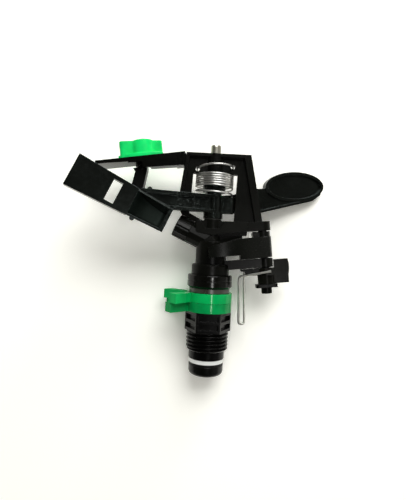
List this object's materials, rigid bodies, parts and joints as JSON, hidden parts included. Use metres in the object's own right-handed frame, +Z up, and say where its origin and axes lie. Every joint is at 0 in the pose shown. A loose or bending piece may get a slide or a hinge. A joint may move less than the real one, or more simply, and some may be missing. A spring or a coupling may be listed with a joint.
{
  "type": "impact sprinkler",
  "caption": "Part-circle impact sprinkler: rocker arm on a spring over an angled nozzle, reversing trip gear, stop collars and a male G 1/2 inlet thread.",
  "frame": {"origin": "on the spin axis at the shoulder between the inlet thread and the hexagon", "axes": "+Z up the spin axis, +X from the nozzle to the reversing gear, -Y to the front"},
  "size_m": [0.1295, 0.0441, 0.1162],
  "materials": {
    "black_plastic": "moulded satin",
    "arm_plastic": "moulded, finely textured",
    "green_plastic": "moulded semi-gloss",
    "white_plastic": "smooth low-friction",
    "grey_plastic": "smooth",
    "seal_rubber": "matt",
    "steel_wire": "drawn stainless wire",
    "steel_pin": "turned stainless"
  },
  "bodies": {
    "base": {"inlet_nipple": "black_plastic", "white_washer": "white_plastic", "tail_seal": "seal_rubber", "dust_seal": "grey_plastic"},
    "head": {"bearing_tube": "black_plastic", "sand_cap": "black_plastic", "bearing_spring": "steel_wire", "sprinkler_body": "black_plastic", "nozzle_cap": "black_plastic", "stream_straightener": "white_plastic", "fulcrum_pin": "steel_pin", "hub_washer": "white_plastic", "arm_spring": "steel_wire", "jet_bracket": "black_plastic", "trip_pin": "black_plastic", "pin_clip": "black_plastic", "toggle_spring": "steel_wire"},
    "arm": {"rocker_arm": "arm_plastic", "drive_vane": "arm_plastic"},
    "knob": {"diffuser_knob": "green_plastic"},
    "diffuser": {"diffuser_blade": "black_plastic"},
    "trip": {"trip_lever": "black_plastic", "trip_wire": "steel_wire"},
    "reverser": {"reversing_lever": "black_plastic"},
    "lower_collar": {"lower_stop_collar": "green_plastic"},
    "upper_collar": {"upper_stop_collar": "green_plastic"}
  },
  "joints": [
    {"name": "head_spin", "type": "hinge", "parent": "base", "child": "head", "pos_m": [0, 0, 0], "axis": [0, 0, 1], "range_deg": [-100, 100]},
    {"name": "lower_collar_turn", "type": "hinge", "parent": "base", "child": "lower_collar", "pos_m": [0, 0, 0.012], "axis": [0, 0, 1], "range_deg": [-25, 25]},
    {"name": "upper_collar_turn", "type": "hinge", "parent": "base", "child": "upper_collar", "pos_m": [0, 0, 0.017], "axis": [0, 0, 1], "range_deg": [-25, 25]},
    {"name": "arm_swing", "type": "hinge", "parent": "head", "child": "arm", "pos_m": [0, 0, 0.06], "axis": [0, 0, 1], "range_deg": [0, 60], "deforming": ["arm_spring"]},
    {"name": "knob_turn", "type": "hinge", "parent": "head", "child": "knob", "pos_m": [-0.03713, 0, 0.08442], "axis": [-0.153, 0, 0.9882], "range_deg": [0, 360]},
    {"name": "blade_slide", "type": "slide", "parent": "head", "child": "diffuser", "axis": [0.153, 0, -0.9882], "range_m": [0, 0.003]},
    {"name": "trip_turn", "type": "hinge", "parent": "head", "child": "trip", "pos_m": [0.0275, 0, 0.03302], "axis": [-0.1219, 0, 0.9925], "range_deg": [-20, 0], "deforming": ["toggle_spring"]},
    {"name": "reverser_turn", "type": "hinge", "parent": "head", "child": "reverser", "pos_m": [0.0275, 0, 0.03302], "axis": [-0.1219, 0, 0.9925], "range_deg": [0, 20]}
  ],
  "couplings": [
    {"joint": "blade_slide", "follows": "knob_turn", "m_per_rad": 0.00047746},
    {"joint": "reverser_turn", "follows": "trip_turn", "ratio": -1}
  ]
}
